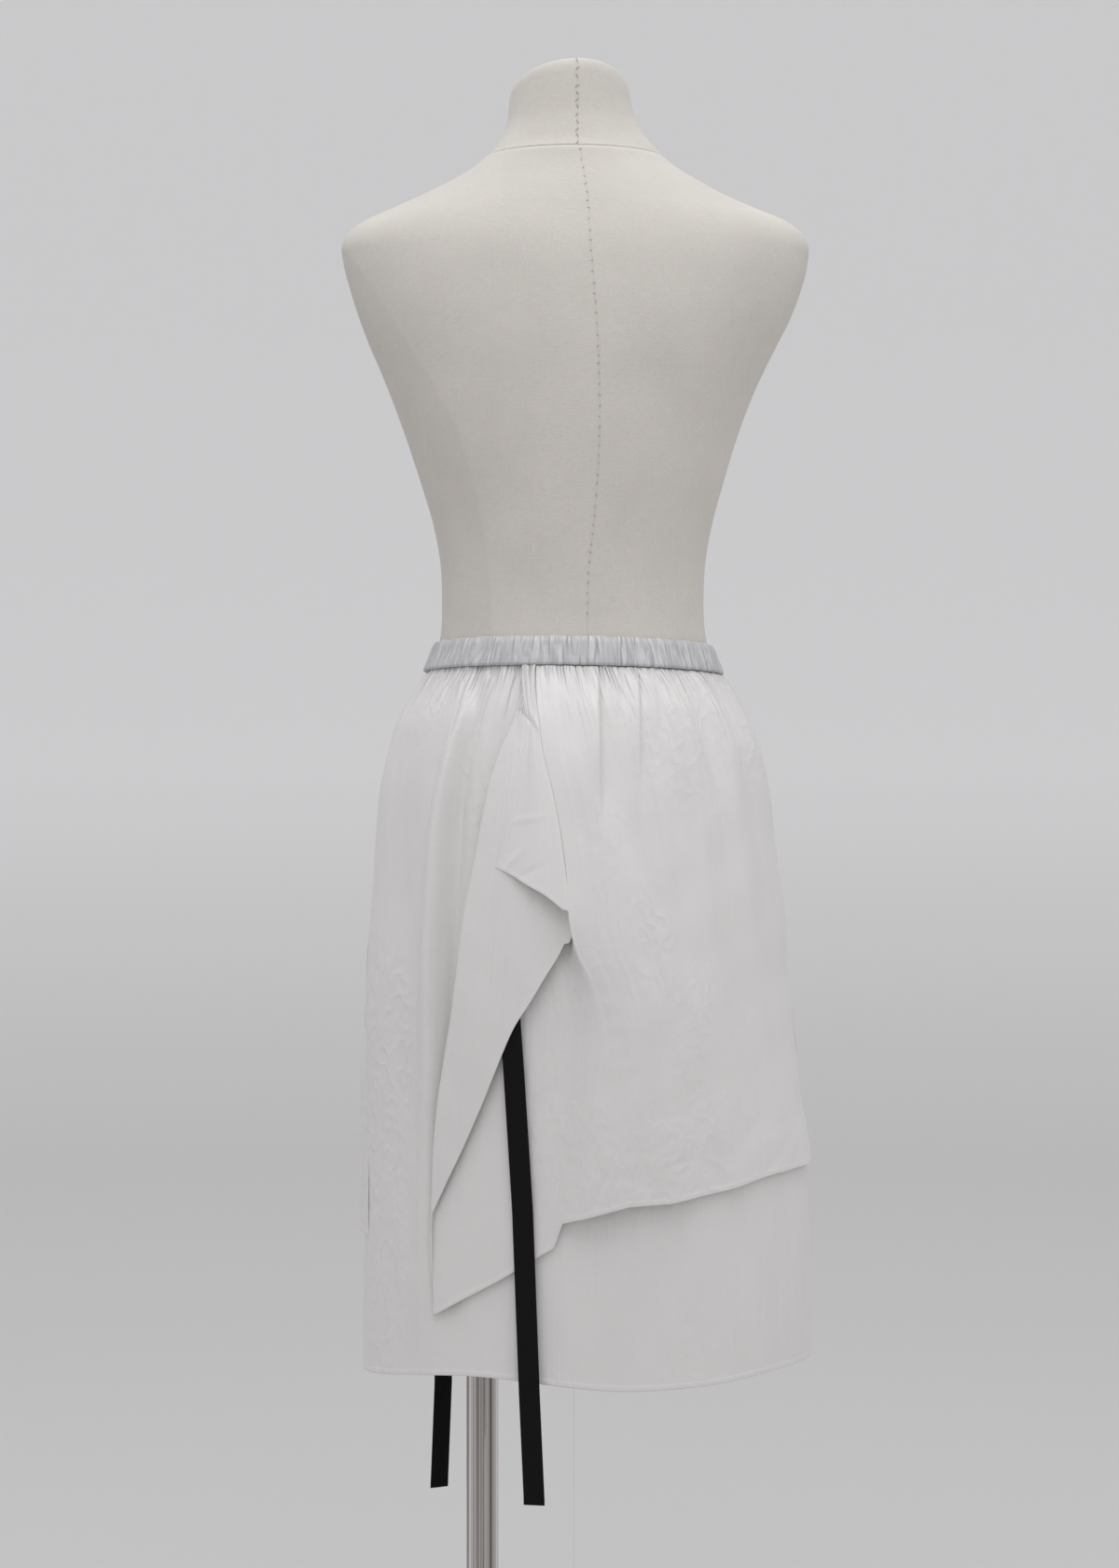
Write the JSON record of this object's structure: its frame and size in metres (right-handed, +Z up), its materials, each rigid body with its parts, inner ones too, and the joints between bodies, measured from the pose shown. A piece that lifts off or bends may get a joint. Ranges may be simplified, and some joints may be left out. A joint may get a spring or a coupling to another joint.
{
  "type": "layered skirt on dress form",
  "caption": "Gathered layered satin skirt with a cascading overskirt and tape ties, worn by a limbless linen dress form on a pole stand.",
  "frame": {"origin": "middle of the base plate's underside, on the floor", "axes": "+Z up; the wearer's back faces -Y and the wearer's left side is -X"},
  "size_m": [0.4136, 0.4, 1.5042],
  "materials": {
    "satin": "off-white satin with a soft sheen and a fine crosswise weave",
    "waistband_satin": "the same satin, finely gathered on elastic",
    "black_tape": "matt black woven tape",
    "form_linen": "natural linen, plain weave, hand-stitched centre back seam",
    "stand_metal": "polished chrome"
  },
  "bodies": {
    "root": {"waistband": "waistband_satin", "underskirt_back": "satin", "underskirt_front": "satin", "overskirt_back": "satin", "overskirt_front": "satin", "tie_back": "black_tape", "tie_front": "black_tape", "form_torso": "form_linen", "form_neck": "form_linen", "pole_socket": "stand_metal", "pole": "stand_metal", "base_plate": "stand_metal"}
  },
  "joints": []
}
